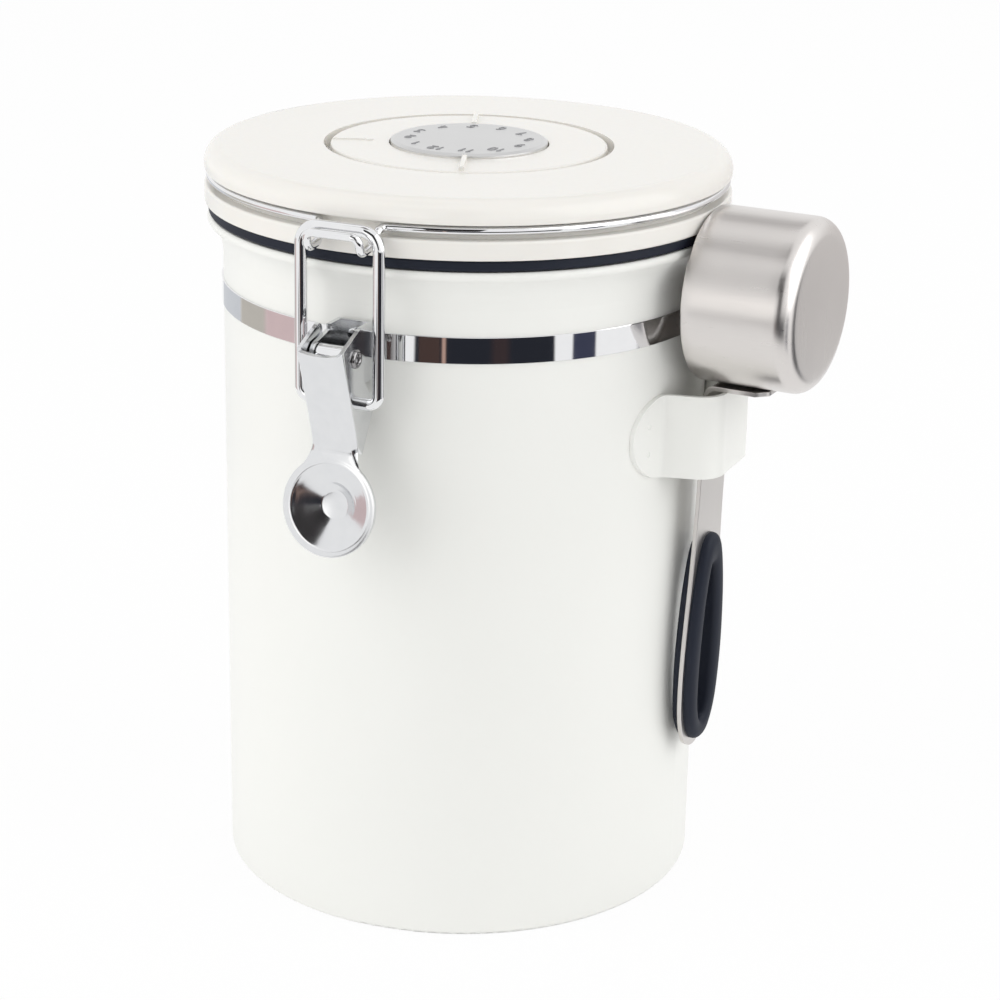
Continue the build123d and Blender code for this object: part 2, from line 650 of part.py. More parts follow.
# Latch lever: two cheeks, a sloping front with a hollowed top edge and a dished thumb disc
with BuildPart() as latch_lever:
    outline = [(-pivot_y - x * lever_length, pivot_z + y * lever_length) for x, y in cheek_shares]
    top_front, neck_front = outline[0], outline[-1]
    run = (neck_front[0] - top_front[0], neck_front[1] - top_front[1])
    down = (run[0] / hypot(*run), run[1] / hypot(*run))
    inward = (-down[1], down[0])
    with BuildSketch(Plane.YZ):
        with BuildLine():
            Polyline(*outline, close=True)
        make_face()
        fillet(vertices().filter_by(lambda v: v.Z > neck_front[1] + lever_sheet
                                    and v.Y > top_front[0] + lever_sheet), lever_corner)
    extrude(amount=cheek_outer, both=True)
    with BuildSketch(Plane.YZ):
        with BuildLine():
            start = (top_front[0] + inward[0] * lever_sheet - down[0] * overrun,
                     top_front[1] + inward[1] * lever_sheet - down[1] * overrun)
            end = (neck_front[0] + inward[0] * lever_sheet + down[0] * overrun,
                   neck_front[1] + inward[1] * lever_sheet + down[1] * overrun)
            depth = lever_length
            Polyline(start, end, (end[0] + inward[0] * depth, end[1] + inward[1] * depth),
                     (start[0] + inward[0] * depth, start[1] + inward[1] * depth), close=True)
        make_face()
    extrude(amount=cheek_inner, both=True, mode=Mode.SUBTRACT)
    with BuildSketch(Plane(origin=(0, *top_front), x_dir=(1, 0, 0), z_dir=(0, *inward))):
        with BuildLine():
            ThreePointArc((-cheek_inner, 0), (0, -lever_sag), (cheek_inner, 0))
            Line((cheek_inner, 0), (-cheek_inner, 0))
        make_face()
    extrude(amount=lever_sheet * 2, both=True, mode=Mode.SUBTRACT)
    with BuildSketch(Plane.YZ):
        with Locations((-pivot_y, pivot_z)):
            Circle(pivot_radius)
        with Locations((-pivot_y + loop_pivot_inset, pivot_z - loop_pivot_drop)):
            Circle(loop_wire + loop_fit)
    extrude(amount=cheek_outer + overrun, both=True, mode=Mode.SUBTRACT)
    disc_plane = Plane(origin=(0, -pivot_y - disc_reach, pivot_z - disc_drop), x_dir=(1, 0, 0),
                       z_dir=(0, -cos(radians(disc_lean_deg)), sin(radians(disc_lean_deg))))
    disc_top = disc_plane.from_local_coords(Vector(0, disc_radius - disc_lip * 2, -disc_sheet))
    with BuildSketch(Plane.YZ):
        with BuildLine():
            neck_rear = (neck_front[0] + inward[0] * lever_sheet, neck_front[1] + inward[1] * lever_sheet)
            Polyline(neck_front, neck_rear,
                     (disc_top.Y + disc_sheet, disc_top.Z), (disc_top.Y, disc_top.Z), close=True)
        make_face()
    extrude(amount=cheek_outer, both=True)
    with BuildSketch(Plane(disc_plane.origin, x_dir=(1, 0, 0), z_dir=disc_plane.y_dir)):
        with BuildLine():
            rim = [(disc_radius, 0), (disc_radius - disc_lip, disc_sheet / 4)]
            inside = [(disc_radius * x, -disc_depth * y) for x, y in reversed(disc_profile_shares)]
            pit = [(dimple_radius, -disc_depth - dimple_depth / 3),
                   (dimple_radius * 0.8, -disc_depth - dimple_depth), (0, -disc_depth - dimple_depth)]
            upper = rim + inside + pit
            lower = [(x, y - disc_sheet) for x, y in reversed(upper)]
            Polyline(*[(x, -y) for x, y in upper + lower], close=True)
        make_face()
    revolve(axis=Axis(disc_plane.origin, disc_plane.z_dir))
save("latch_lever", latch_lever.part)

# Hollow rivet through the cheeks and the ears
with BuildPart() as lever_rivet:
    with BuildSketch(Plane.YZ):
        with Locations((-pivot_y, pivot_z)):
            Circle(pivot_radius)
    extrude(amount=cheek_outer + pivot_head_height / 2, both=True)
    for side in (-1, 1):
        with BuildSketch(Plane(origin=(side * cheek_outer, -pivot_y, pivot_z), z_dir=(side, 0, 0))):
            Circle(pivot_head)
        extrude(amount=pivot_head_height)
    fillet(lever_rivet.faces().filter_by(Axis.X).group_by(Axis.X)[0].edges(), pivot_head_height / 2)
    fillet(lever_rivet.faces().filter_by(Axis.X).group_by(Axis.X)[-1].edges(), pivot_head_height / 2)
    with BuildSketch(Plane.YZ):
        with Locations((-pivot_y, pivot_z)):
            Circle(pivot_bore)
    extrude(amount=cheek_outer + overrun, both=True, mode=Mode.SUBTRACT)
save("lever_rivet", lever_rivet.part)

# Spacer sleeve on the rivet between the ears
with BuildPart() as lever_sleeve:
    with BuildSketch(Plane.YZ):
        with Locations((-pivot_y, pivot_z)):
            Circle(sleeve_radius)
            Circle(pivot_radius, mode=Mode.SUBTRACT)
    extrude(amount=ear_half - ear_sheet - sleeve_gap, both=True)
save("lever_sleeve", lever_sleeve.part)

# Wire loop whose two ends turn in the cheeks
with BuildPart() as latch_loop:
    loop_low = (-pivot_y + loop_pivot_inset, pivot_z - loop_pivot_drop)
    loop_high = (-lid_radius - loop_bar_reach, wire_height)
    with BuildLine() as loop_line:
        FilletPolyline((-loop_end_half, *loop_low), (-loop_half_width, *loop_low),
                       (-loop_half_width, *loop_high), (loop_half_width, *loop_high),
                       (loop_half_width, *loop_low), (loop_end_half, *loop_low),
                       radius=(loop_low_bend, loop_top_bend, loop_top_bend, loop_low_bend))
    with BuildSketch(Plane(origin=loop_line.line @ 0, z_dir=loop_line.line % 0)):
        Circle(loop_wire)
    sweep(path=loop_line.line)
save("latch_loop", latch_loop.part)

# Scoop cup, open towards the body; the whole scoop hangs a little turned in its holder
swing, lean = radians(scoop_turn_deg), radians(handle_lean_deg)
scoop_plane = Plane(origin=(handle_x, 0, 0), x_dir=(cos(swing), sin(swing), 0),
                    z_dir=(sin(swing), -cos(swing), 0))
with BuildPart() as scoop_cup:
    cup_rim = cup_x - handle_x
    cup_bottom = cup_rim + cup_depth
    outer, inner = cup_height + cup_radius, cup_height + cup_radius - cup_wall
    with BuildSketch(scoop_plane):
        with BuildLine():
            Line((cup_rim, outer - cup_wall / 2), (cup_rim, inner))
            Line((cup_rim, inner), (cup_bottom - cup_edge, inner))
            RadiusArc((cup_bottom - cup_edge, inner), (cup_bottom - cup_wall, outer - cup_edge),
                      cup_edge - cup_wall)
            Polyline((cup_bottom - cup_wall, outer - cup_edge), (cup_bottom - cup_wall, cup_height),
                     (cup_bottom, cup_height), (cup_bottom, outer - cup_edge))
            RadiusArc((cup_bottom, outer - cup_edge), (cup_bottom - cup_edge, outer), -cup_edge)
            Line((cup_bottom - cup_edge, outer), (cup_rim + cup_wall / 2, outer))
            RadiusArc((cup_rim + cup_wall / 2, outer), (cup_rim, outer - cup_wall / 2), -cup_wall / 2)
        make_face()
    revolve(axis=Axis((handle_x, 0, cup_height), scoop_plane.x_dir))
save("scoop_cup", scoop_cup.part)

# Scoop handle: a tab welded under the cup, a bend, a strip and an oval plate with a hole
tab_middle = tab_low + handle_sheet / 2
handle_plane = Plane(origin=(handle_x, 0, tab_middle), x_dir=(-sin(swing), cos(swing), 0),
                     z_dir=(cos(lean) * cos(swing), cos(lean) * sin(swing), -sin(lean)))
ring_low = grip_shift * 3 - handle_length
hole_low = ring_low + grip_band_low
hole_length = grip_length - grip_band_low - grip_band_high
ring_half = grip_half - grip_ring_inset
with BuildPart() as scoop_handle:
    with BuildSketch(scoop_plane):
        with BuildLine(mode=Mode.PRIVATE) as bend_line:
            strip_end = (-sin(lean) * handle_length / 3, tab_middle - cos(lean) * handle_length / 3)
            FilletPolyline((tab_length, tab_middle), (0, tab_middle), strip_end, radius=handle_bend)
        trace(bend_line.line, line_width=handle_sheet)
    extrude(amount=handle_half, both=True)
    tab_axis = Axis((0, 0, 0), scoop_plane.x_dir)
    chamfer(scoop_handle.edges().filter_by(Axis.Z).group_by(tab_axis)[-1], tab_chamfer)
    with BuildSketch(handle_plane):
        with BuildLine():
            tip = (0, -handle_length)
            side_points = [(grip_half * x, (y - 1) * handle_length) for x, y in plate_shares]
            side_points += [(handle_half + (grip_half - handle_half) * x, (y - 1) * handle_length)
                            for x, y in plate_blend_shares]
            right = Spline(tip, *side_points, tangents=((1, 0), (0, 1)))
            left = Spline(tip, *[(-x, y) for x, y in side_points], tangents=((-1, 0), (0, 1)))
            Line(right @ 1, left @ 1)
        make_face()
        with BuildLine():
            liner = grip_hole_half + grip_liner
            hole_points = [(liner * x, hole_low - grip_liner + y * (hole_length + grip_liner * 2))
                           for x, y in hole_shares]
            Spline((0, hole_low - grip_liner), *hole_points, (0, hole_low + hole_length + grip_liner),
                   *[(-x, y) for x, y in reversed(hole_points)], periodic=True)
        make_face(mode=Mode.SUBTRACT)
    extrude(amount=handle_sheet / 2, both=True)
save("scoop_handle", scoop_handle.part)

# Rubber grip: a ring on each face of the plate, joined by a liner in the hole
with BuildPart() as scoop_grip:
    def closed_outline(shares, half, low, length):
        points = [(half * x, low + y * length) for x, y in shares]
        Spline((0, low), *points, (0, low + length), *[(-x, y) for x, y in reversed(points)], periodic=True)

    with BuildSketch(handle_plane):
        with BuildLine():
            closed_outline(ring_shares, ring_half, ring_low, grip_length)
        make_face()
        with BuildLine():
            closed_outline(hole_shares, grip_hole_half, hole_low, hole_length)
        make_face(mode=Mode.SUBTRACT)
    extrude(amount=handle_sheet / 2 + grip_rise, both=True)
    fillet(scoop_grip.faces().sort_by(Axis.X)[-1].edges(), grip_edge)
    fillet(scoop_grip.faces().sort_by(Axis.X)[0].edges(), grip_edge)
    with BuildSketch(handle_plane):
        Rectangle(grip_half * 4, handle_length * 4)
        with BuildLine():
            closed_outline(hole_shares, grip_hole_half + grip_liner, hole_low - grip_liner,
                           hole_length + grip_liner * 2)
        make_face(mode=Mode.SUBTRACT)
    extrude(amount=handle_sheet / 2, both=True, mode=Mode.SUBTRACT)
save("scoop_grip", scoop_grip.part)
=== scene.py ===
import math
import bpy
import bmesh
import numpy as np
from mathutils import Matrix, Vector


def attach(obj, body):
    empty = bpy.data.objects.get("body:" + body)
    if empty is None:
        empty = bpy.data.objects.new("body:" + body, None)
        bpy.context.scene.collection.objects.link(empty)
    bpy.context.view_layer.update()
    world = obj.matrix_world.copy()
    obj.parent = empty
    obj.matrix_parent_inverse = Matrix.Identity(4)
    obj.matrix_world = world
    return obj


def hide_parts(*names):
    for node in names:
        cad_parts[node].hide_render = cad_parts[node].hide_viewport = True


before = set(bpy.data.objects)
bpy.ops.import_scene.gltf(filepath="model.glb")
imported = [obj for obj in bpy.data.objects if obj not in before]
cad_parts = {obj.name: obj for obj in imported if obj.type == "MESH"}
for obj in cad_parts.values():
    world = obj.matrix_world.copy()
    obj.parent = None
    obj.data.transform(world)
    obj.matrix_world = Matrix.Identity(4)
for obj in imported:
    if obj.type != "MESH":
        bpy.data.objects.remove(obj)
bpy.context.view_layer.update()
print("frame loaded with", len(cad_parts), "nodes")


def setInput(tree, target, value):
    if isinstance(value, Socket):
        tree.links.new(value.socket, target)
    else:
        target.default_value = value


class Socket:
    # a node's output used as a number: each operator adds the Math node of its kind
    def __init__(self, tree, socket):
        self.tree, self.socket = tree, socket

    def maths(self, operation, *values):
        node = self.tree.nodes.new("ShaderNodeMath")
        node.operation = operation
        for place, value in enumerate(values):
            setInput(self.tree, node.inputs[place], value)
        return Socket(self.tree, node.outputs[0])

    def __add__(self, other): return self.maths("ADD", self, other)
    def __radd__(self, other): return self.maths("ADD", other, self)
    def __sub__(self, other): return self.maths("SUBTRACT", self, other)
    def __rsub__(self, other): return self.maths("SUBTRACT", other, self)
    def __mul__(self, other): return self.maths("MULTIPLY", self, other)
    def __rmul__(self, other): return self.maths("MULTIPLY", other, self)
    def __truediv__(self, other): return self.maths("DIVIDE", self, other)
    def __rtruediv__(self, other): return self.maths("DIVIDE", other, self)
    def __gt__(self, other): return self.maths("GREATER_THAN", self, other)
    def __lt__(self, other): return self.maths("LESS_THAN", self, other)
    def __abs__(self): return self.maths("ABSOLUTE", self)


class Shader:
    # one node material: coordinates in, values through node(), a Principled surface out
    def __init__(self, name):
        self.material = bpy.data.materials.new(name)
        self.material.use_nodes = True
        self.tree = self.material.node_tree
        self.surface = self.tree.nodes["Principled BSDF"]
        self.place = self.node("ShaderNodeTexCoord", output="Object")

    def node(self, kind, inputs=None, output=0, **settings):
        made = self.tree.nodes.new(kind)
        for key, value in settings.items():
            setattr(made, key, value)
        for key, value in (inputs or {}).items():
            setInput(self.tree, made.inputs[key], value)
        return Socket(self.tree, made.outputs[output])

    def parts(self, vector=None):
        split = self.tree.nodes.new("ShaderNodeSeparateXYZ")
        setInput(self.tree, split.inputs[0], vector or self.place)
        return [Socket(self.tree, o) for o in split.outputs]

    def join(self, x, y, z):
        return self.node("ShaderNodeCombineXYZ", {0: x, 1: y, 2: z})

    def noise(self, vector, scale, detail, roughness=0.55):
        return self.node("ShaderNodeTexNoise", {"Vector": vector, "Scale": scale, "Detail": detail,
                                                "Roughness": roughness})

    def mix(self, factor, first, second):
        return self.node("ShaderNodeMix", {0: factor, 6: (*first, 1), 7: (*second, 1)}, output=2,
                         data_type="RGBA")

    def bump(self, height, strength, distance):
        return self.node("ShaderNodeBump", {"Height": height, "Strength": strength, "Distance": distance})

    def finish(self, values):
        for key, value in values.items():
            setInput(self.tree, self.surface.inputs[key], value)
        return self.material

    def blend(self, factor, under, over):
        # the two surfaces mixed by the factor become the material's surface
        mixed = self.node("ShaderNodeMixShader", {0: factor, 1: under, 2: over})
        setInput(self.tree, self.tree.nodes["Material Output"].inputs[0], mixed)
        return self.material


# each finish drifts between two tones; the brushed ones have one tint and its own shade
tone = {
    "coat": ((0.865, 0.868, 0.832), (0.885, 0.886, 0.855)),
    "ivory": ((0.852, 0.830, 0.785), (0.872, 0.853, 0.810)),
    "chrome": ((0.78, 0.785, 0.80), (0.85, 0.85, 0.855)),
    "plated": ((0.70, 0.71, 0.725), (0.78, 0.785, 0.795)),
    # rivet: far darker than the lever's plating, painted shade for the hollow rivet's shadowed, dark-mirroring
    # look
    "rivet": ((0.27, 0.265, 0.27), (0.36, 0.35, 0.35)),
    "rubber": ((0.006, 0.009, 0.019), (0.011, 0.015, 0.029)),
    "ink": ((0.24, 0.24, 0.25), (0.34, 0.34, 0.35)),
    "silicone": ((0.68, 0.69, 0.70), (0.78, 0.79, 0.80)),
    "paper": ((0.93, 0.93, 0.93), (0.95, 0.95, 0.95)),
}
brushing = {"across": 1400, "along": 25, "shade": 0.90, "cupEnd": 0.0876}  # cupEnd: x where its flat end starts


def powderCoat():
    # satin off-white coat: fine orange peel, a faint colour drift and slightly rougher patches
    coat = Shader("powderCoatWhite")
    peel = coat.noise(coat.place, 900, 2.0)
    drift = coat.noise(coat.place, 14, 2.0)
    return coat.finish({"Base Color": coat.mix(drift, *tone["coat"]), "Roughness": 0.40 + drift * 0.08,
                        "Normal": coat.bump(peel, 0.10, 0.0002), "Coat Weight": 0.15,
                        "Coat Roughness": 0.25, "Specular IOR Level": 0.45})


def glossIvory():
    # moulded ivory plastic: very fine flow variation under a glossy skin
    skin = Shader("glossIvory")
    flow = skin.noise(skin.place, 30, 3.0)
    fine = skin.noise(skin.place, 700, 2.0)
    return skin.finish({"Base Color": skin.mix(flow, *tone["ivory"]), "Roughness": 0.17 + fine * 0.06,
                        "Normal": skin.bump(fine, 0.05, 0.0001), "Subsurface Weight": 0.06,
                        "Subsurface Radius": (0.004, 0.003, 0.002), "Subsurface Scale": 0.5})


def polishedChrome():
    # bright plated steel with the faintest polishing haze
    plate = Shader("polishedChrome")
    haze = plate.noise(plate.place, 260, 4.0)
    return plate.finish({"Base Color": plate.mix(haze, *tone["chrome"]), "Metallic": 1.0,
                         "Roughness": 0.035 + haze * 0.03})


def platedSheet(name, tones):
    # pressed sheet under thin plating: greyer and hazier than the wires, with soft rubbed patches
    sheet = Shader(name)
    haze = sheet.noise(sheet.place, 320, 4.0)
    rub = sheet.noise(sheet.place, 1500, 2.0)
    return sheet.finish({"Base Color": sheet.mix(haze, *tones), "Metallic": 1.0,
                         "Roughness": 0.12 + haze * 0.08, "Normal": sheet.bump(rub, 0.05, 0.0001)})


def brushedSteel(name, tint, axis, rough):
    # satin steel: noise stretched along the brushing, as lines in the roughness and the relief;
    # on the cup the lines run along its side and upright on its flat end
    steel = Shader(name)
    x, y, z = steel.parts()
    across, along = brushing["across"], brushing["along"]
    if axis == "cup":
        flatEnd = x > brushing["cupEnd"]
        stretch = (along - flatEnd * along, across, across - flatEnd * (across - along))
    else:
        stretch = (along, across, across) if axis == "X" else (across, across, along)
    lines = steel.noise(steel.join(x * stretch[0], y * stretch[1], z * stretch[2]), 1.0, 3.0, 0.65)
    cloud = steel.noise(steel.place, 60, 2.0)
    shade = tuple(part * brushing["shade"] for part in tint)
    return steel.finish({"Base Color": steel.mix(lines * 0.5 + cloud * 0.5, shade, tint), "Metallic": 1.0,
                         "Roughness": rough + lines * 0.14 - cloud * 0.04,
                         "Normal": steel.bump(lines, 0.016, 0.0001)})


def softRubber():
    # matte dark rubber, slightly blue, with a fine moulded grain
    rubber = Shader("softRubber")
    grain = rubber.noise(rubber.place, 1600, 3.0)
    dust = rubber.noise(rubber.place, 90, 4.0)
    return rubber.finish({"Base Color": rubber.mix(dust, *tone["rubber"]), "Roughness": 0.50 + dust * 0.12,
                          "Normal": rubber.bump(grain, 0.15, 0.0001), "Specular IOR Level": 0.30})


def greyInk():
    # filled markings on the dial: mid grey, a little uneven
    ink = Shader("greyInk")
    wear = ink.noise(ink.place, 400, 3.0)
    return ink.finish({"Base Color": ink.mix(wear, *tone["ink"]), "Roughness": 0.5})


def milkySilicone():
    # translucent matte silicone of the valve disc
    silicone = Shader("milkySilicone")
    cloud = silicone.noise(silicone.place, 120, 3.0)
    return silicone.finish({"Base Color": silicone.mix(cloud, *tone["silicone"]),
                            "Roughness": 0.45 + cloud * 0.1, "Subsurface Weight": 0.2,
                            "Subsurface Radius": (0.002, 0.002, 0.002), "Subsurface Scale": 0.5})


finish = {
    "coat": powderCoat(),
    "ivory": glossIvory(),
    "chrome": polishedChrome(),
    "plated": platedSheet("platedSheet", tone["plated"]),
    # the rivet gets a darkened copy of the plated finish: painted shade, not a different metal
    "rivetSteelPaintedShade": platedSheet("rivetSteelPaintedShade", tone["rivet"]),
    "cupSteel": brushedSteel("brushedCupSteel", (0.75, 0.72, 0.70), "cup", 0.25),
    "stripSteel": brushedSteel("brushedStripSteel", (0.70, 0.675, 0.655), "Z", 0.30),
    "dialSteel": brushedSteel("brushedDialSteel", (0.70, 0.70, 0.70), "X", 0.28),
    "rubber": softRubber(),
    "ink": greyInk(),
    "silicone": milkySilicone(),
}
nodeFinish = {
    "canister_body": "coat", "base_pan": "coat", "scoop_holder": "coat", "neck_band": "chrome",
    "latch_bracket": "plated", "hinge_bracket": "chrome", "bracket_rivets": "chrome",
    "lid_cover": "ivory", "lid_base": "ivory", "lid_gasket": "rubber", "lid_screws": "stripSteel",
    "bail_wire": "chrome", "dial_plate": "dialSteel", "dial_numerals": "ink", "valve_cap": "ivory",
    "valve_filter": "ivory", "date_ring": "ivory", "date_index": "ivory", "valve_disc": "silicone",
    "latch_lever": "chrome", "lever_rivet": "chrome", "lever_sleeve": "chrome", "latch_loop": "chrome",
    "scoop_cup": "cupSteel", "scoop_handle": "stripSteel", "scoop_grip": "rubber",
}
for node, name in nodeFinish.items():
    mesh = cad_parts[node].data
    mesh.materials.clear()
    mesh.materials.append(finish[name])
print("finishes set")


# surfaces: every shape is a grid of points in millimetres, worked out as whole arrays
def filletPath(points, radii, arcSteps=9):
    # each corner turns on an arc: start + r (sin(a) d1 + (1 - cos(a)) n), with n square to the first
    # direction d1 in the plane of the bend
    points = np.array(points, float)
    steps = np.diff(points, axis=0)
    way = steps / np.linalg.norm(steps, axis=1, keepdims=True)
    before, after = way[:-1], way[1:]
    turn = np.arccos(np.clip((before * after).sum(1), -1, 1))[:, None]
    square = (after - before * np.cos(turn)) / np.sin(turn)
    radius = np.array(radii, float)[:, None]
    start = points[1:-1] - before * radius * np.tan(turn / 2)
    angle = turn[:, :, None] * np.linspace(0, 1, arcSteps)[None, :, None]
    arcs = start[:, None] + radius[:, :, None] * (np.sin(angle) * before[:, None]
                                                  + (1 - np.cos(angle)) * square[:, None])
    return np.vstack([points[:1], arcs.reshape(-1, 3), points[-1:]])


def tube(path, radius, around=24):
    # point = path + r (cos(a) side + sin(a) other); each frame is the last one carried on with no twist
    steps = np.diff(path, axis=0)
    way = steps / np.linalg.norm(steps, axis=1, keepdims=True)
    way = np.vstack([way[:1], way[:-1] + way[1:], way[-1:]])
    way /= np.linalg.norm(way, axis=1, keepdims=True)
    side = np.cross(way, np.array([0.31, 0.52, 0.79]))  # any direction that the path never takes
    side /= np.linalg.norm(side, axis=1, keepdims=True)
    other = np.cross(way, side)
    axis, cosine = np.cross(way[:-1], way[1:]), (way[:-1] * way[1:]).sum(1)[:, None]
    carried = (side[:-1] * cosine + np.cross(axis, side[:-1])
               + axis * (axis * side[:-1]).sum(1)[:, None] / (1 + cosine))
    slip = np.arctan2((carried * other[1:]).sum(1), (carried * side[1:]).sum(1))
    phase = np.concatenate([[0], np.cumsum(slip)])
    angle = (phase[:, None] + np.linspace(0, 2 * np.pi, around, endpoint=False)[None])[:, :, None]
    return path[:, None] + radius * (np.cos(angle) * side[:, None] + np.sin(angle) * other[:, None])


def lathe(profile, centre, axis, up, around):
    # profile rows are (along, radius): point = centre + along axis + radius (cos(a) up + sin(a) side)
    profile, axis, up = np.array(profile, float), np.array(axis, float), np.array(up, float)
    angle = np.linspace(0, 2 * np.pi, around, endpoint=False)
    spoke = np.cos(angle)[:, None] * up + np.sin(angle)[:, None] * np.cross(axis, up)
    return np.array(centre) + profile[:, 0, None, None] * axis + profile[:, 1, None, None] * spoke[None]


def arc(centre, radius, start, stop, steps):
    # flat arc: centre + r (cos(a), sin(a)), degrees from start to stop
    angle = np.radians(np.linspace(start, stop, steps))
    return np.stack([centre[0] + radius * np.cos(angle), centre[1] + radius * np.sin(angle)], 1)


spanSteps = 9  # points on each span of a closed curve


def closedCurve(points):
    # smooth ring through the points: each span is the cubic whose slopes are half the step between
    # the neighbours of its ends
    points = np.array(points, float)
    slope = (np.roll(points, -1, 0) - np.roll(points, 1, 0)) / 2
    t = np.linspace(0, 1, spanSteps, endpoint=False)[None, :, None]
    first, second = points[:, None], np.roll(points, -1, 0)[:, None]
    out, into = slope[:, None], np.roll(slope, -1, 0)[:, None]
    curve = ((2 * t**3 - 3 * t**2 + 1) * first + (t**3 - 2 * t**2 + t) * out
             + (3 * t**2 - 2 * t**3) * second + (t**3 - t**2) * into)
    return curve.reshape(-1, points.shape[1])


def gridCells(rows, columns, first, wrap):
    # the four corners of each cell; where the grid wraps, the last column meets the first
    index = np.arange(rows * columns).reshape(rows, columns) + first
    if wrap:
        index = np.hstack([index, index[:, :1]])
    return np.stack([index[:-1, :-1], index[:-1, 1:], index[1:, 1:], index[1:, :-1]], -1).reshape(-1, 4)


def addObject(name, data):
    made = bpy.data.objects.new(name, data)
    bpy.context.scene.collection.objects.link(made)
    return made


making = {"weld": 2e-6, "bevelSteps": 3, "bevelAngle": 50}  # weld: metres between points that are one


def makePiece(name, grids, finishName, body, node, sheet=0, edge=0, crease=35):
    # grids become one mesh: shared rims and poles merged, open ends capped, a sheet given its thickness
    points, cells, count = [], [], 0
    for grid, wrap in grids:
        rows, columns = grid.shape[:2]
        points.append(grid.reshape(-1, 3) / 1000)
        cells.append(gridCells(rows, columns, count, wrap))
        count += rows * columns
    mesh = bpy.data.meshes.new(name)
    mesh.from_pydata(np.vstack(points).tolist(), [], np.vstack(cells).tolist())
    shape = bmesh.new()
    shape.from_mesh(mesh)
    bmesh.ops.remove_doubles(shape, verts=shape.verts, dist=making["weld"])
    if not sheet:
        bmesh.ops.holes_fill(shape, edges=[e for e in shape.edges if e.is_boundary], sides=0)
    bmesh.ops.recalc_face_normals(shape, faces=shape.faces)
    shape.to_mesh(mesh)
    shape.free()
    mesh.shade_smooth()
    mesh.set_sharp_from_angle(angle=math.radians(crease))
    mesh.materials.append(finish[finishName])
    piece = addObject(name, mesh)
    if sheet:
        wall = piece.modifiers.new("wall", "SOLIDIFY")
        wall.thickness, wall.offset, wall.use_even_offset = sheet / 1000, 0, True
    if edge:
        rounding = piece.modifiers.new("edge", "BEVEL")
        rounding.width, rounding.segments = edge / 1000, making["bevelSteps"]
        rounding.limit_method, rounding.angle_limit = "ANGLE", math.radians(making["bevelAngle"])
        rounding.harden_normals = True
    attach(piece, body)
    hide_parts(node)
    print("made", name)


# latch lever: a pressed sheet, two cheeks round a sloping front that widens into a dished pad;
# its points are (y, z)
lever = {
    "top": (-76.95, 146.31), "neck": (-69.4, 123.0), "sheet": 1.0, "wall": 0.95, "edge": 0.24,
    "half": 5.1, "bend": 0.9, "sag": 0.9, "rows": 80, "rearBends": (1.6, 1.6, 1.8, 2.5),
    "rear": [(-76.95, 146.31), (-65.71, 150.91), (-65.79, 137.6), (-61.59, 133.6), (-61.2, 130.2),
             (-66.55, 121.32)],
    "pad": (-72.0, 109.9), "padLean": 10.2, "padRadius": 11.3, "flange": 1.4, "padDepth": 2.9,
    "rim": 0.2, "rimWidth": 0.7, "ridgeSoft": 0.02, "dimple": 3.75, "dimpleDepth": 0.4, "dimpleWall": 0.8,
    "step": 0.2, "stepRadius": 5.8, "stepWidth": 0.45, "stepTurn": 0.6,
    "neckSpread": 6.9, "neckPull": 2.2, "bendFill": 0.36, "bendReach": (5.0, 2.1),
}


def leverShell(s):
    # front: top + t (neck - top), t down the rows; cheek: front + share (rear outline - front)
    top, neck = np.array(s["top"]), np.array(s["neck"])
    length, middle = np.linalg.norm(neck - top), s["sheet"] / 2
    down = (neck - top) / length
    inward = np.array([-down[1], down[0]])
    t = np.linspace(0, 1, s["rows"] + 1)[:, None]
    rear = filletPath([(0, *p) for p in s["rear"]], s["rearBends"])[1:, 1:]
    along = np.concatenate([[0], np.cumsum(np.linalg.norm(np.diff(rear, axis=0), axis=1))])
    outline = np.stack([np.interp(t * along[-1], along, rear[:, k]) for k in (0, 1)], -1)
    turn = np.linspace(0, np.pi / 2, 8)
    flat = s["half"] - s["bend"]
    cheek, front = np.linspace(1, 0, 11)[:-1], np.linspace(flat, 0, 7)[1:]
    x = np.concatenate([cheek * 0 + s["half"], flat + s["bend"] * np.cos(turn), front])
    depth = np.concatenate([cheek * 0 + s["bend"], s["bend"] * (1 - np.sin(turn)), front * 0])
    share = np.concatenate([cheek, turn * 0, front * 0])
    x, depth, share = (np.concatenate([v, k * v[-2::-1]]) for v, k in ((x, -1), (depth, 1), (share, 1)))
    sag = s["sag"] * np.maximum(0, 1 - (x / s["half"]) ** 2) * (1 - t) ** 3
    line = (top + inward * middle + down * length * t)[:, None] + sag[:, :, None] * down
    flank = line + inward * depth[None, :, None]
    flank = flank + share[None, :, None] * (outline - flank)
    shell = np.dstack([np.broadcast_to(x, flank.shape[:2]), flank])
    return shell, share, (1 - t) * length


